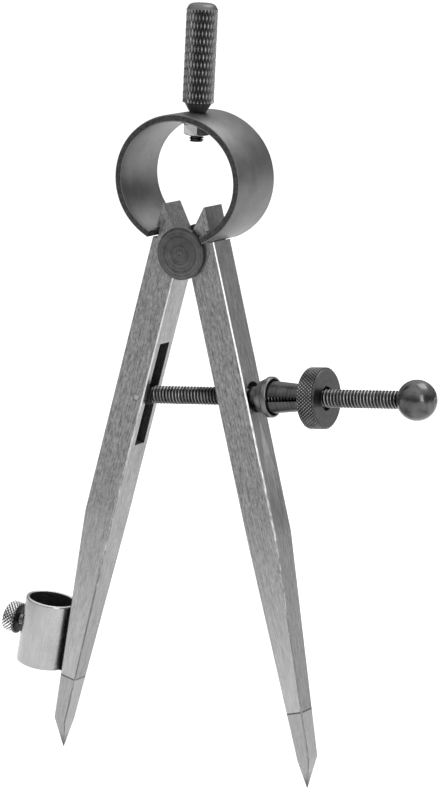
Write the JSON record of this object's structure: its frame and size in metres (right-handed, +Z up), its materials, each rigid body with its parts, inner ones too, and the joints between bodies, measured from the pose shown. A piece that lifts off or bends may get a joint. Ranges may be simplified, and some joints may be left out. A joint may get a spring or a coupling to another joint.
{
  "type": "spring bow compass",
  "caption": "Steel spring bow compass with two pointed legs, a quick-adjusting screw and nut, a knurled handle on a bow spring, and a pencil holder clamped to one leg.",
  "frame": {"origin": "middle of the knurled handle grip, on its axis", "axes": "+X from the left leg towards the adjusting nut and its ball, +Y towards the back, +Z up from the points to the handle, along the centre line between the legs"},
  "size_m": [0.1335, 0.0196, 0.2125],
  "materials": {
    "leg_steel": "ground, grey, lightly worn edges",
    "point_steel": "hardened and ground",
    "bow_steel": "blued spring steel, satin",
    "black_oxide": "black oxide, satin",
    "black_gloss": "polished black",
    "nickel": "bright nickel plate",
    "spring_wire": "drawn wire",
    "brass_pad": "turned"
  },
  "bodies": {
    "frame": {"handle_grip": "black_oxide", "handle_stud": "black_oxide", "handle_nut": "nickel", "nut_washer": "nickel", "bow_spring": "bow_steel", "fulcrum_spool": "black_oxide"},
    "left_leg": {"left_leg": "leg_steel", "left_point": "point_steel", "screw_pin": "leg_steel", "pencil_holder": "nickel", "holder_saddle": "black_oxide", "holder_rivet": "nickel"},
    "right_leg": {"right_leg": "leg_steel", "right_point": "point_steel"},
    "screw": {"adjusting_screw": "black_oxide", "ball_end": "black_gloss"},
    "seat": {"seat_cup": "black_oxide"},
    "nut": {"half_nut_upper": "black_oxide", "half_nut_lower": "black_oxide", "nut_spring": "spring_wire", "knurled_nut": "black_oxide"},
    "clamp_pad": {"clamp_pad": "brass_pad"},
    "clamp_screw": {"clamp_screw": "nickel", "clamp_knob": "nickel"}
  },
  "joints": [
    {"name": "left_leg_pivot", "type": "hinge", "parent": "frame", "child": "left_leg", "pos_m": [-0.00186, 0, -0.05337], "axis": [0, 1, 0], "range_deg": [-15.1, 15.1], "deforming": ["bow_spring"]},
    {"name": "right_leg_pivot", "type": "hinge", "parent": "frame", "child": "right_leg", "pos_m": [-0.00186, 0, -0.05337], "axis": [0, -1, 0], "range_deg": [-15.1, 15.1]},
    {"name": "screw_swivel", "type": "hinge", "parent": "left_leg", "child": "screw", "pos_m": [-0.01596, 0, -0.09423], "axis": [0, -1, 0], "range_deg": [-15.1, 15.1]},
    {"name": "seat_swivel", "type": "hinge", "parent": "right_leg", "child": "seat", "pos_m": [0.01872, 0, -0.09138], "axis": [0, 1, 0], "range_deg": [-15.1, 15.1]},
    {"name": "nut_turn", "type": "hinge", "parent": "seat", "child": "nut", "pos_m": [0.01872, 0, -0.09138], "axis": [0.9966, 0, 0.0819], "range_deg": [-7459, 7459]},
    {"name": "pad_slide", "type": "slide", "parent": "left_leg", "child": "clamp_pad", "axis": [-0.9853, 0, 0.1706], "range_m": [-0.0016, 0.0005]},
    {"name": "clamp_turn", "type": "hinge", "parent": "clamp_pad", "child": "clamp_screw", "pos_m": [-0.0469, 0, -0.16458], "axis": [-0.9853, 0, 0.1706], "range_deg": [-1153, 361]}
  ],
  "couplings": [
    {"joint": "left_leg_pivot", "follows": "nut_turn", "ratio": 0.0020111},
    {"joint": "right_leg_pivot", "follows": "nut_turn", "ratio": 0.0020111},
    {"joint": "screw_swivel", "follows": "nut_turn", "ratio": 0.0020111},
    {"joint": "seat_swivel", "follows": "nut_turn", "ratio": 0.0020111},
    {"joint": "clamp_turn", "follows": "pad_slide", "rad_per_m": 12566}
  ]
}
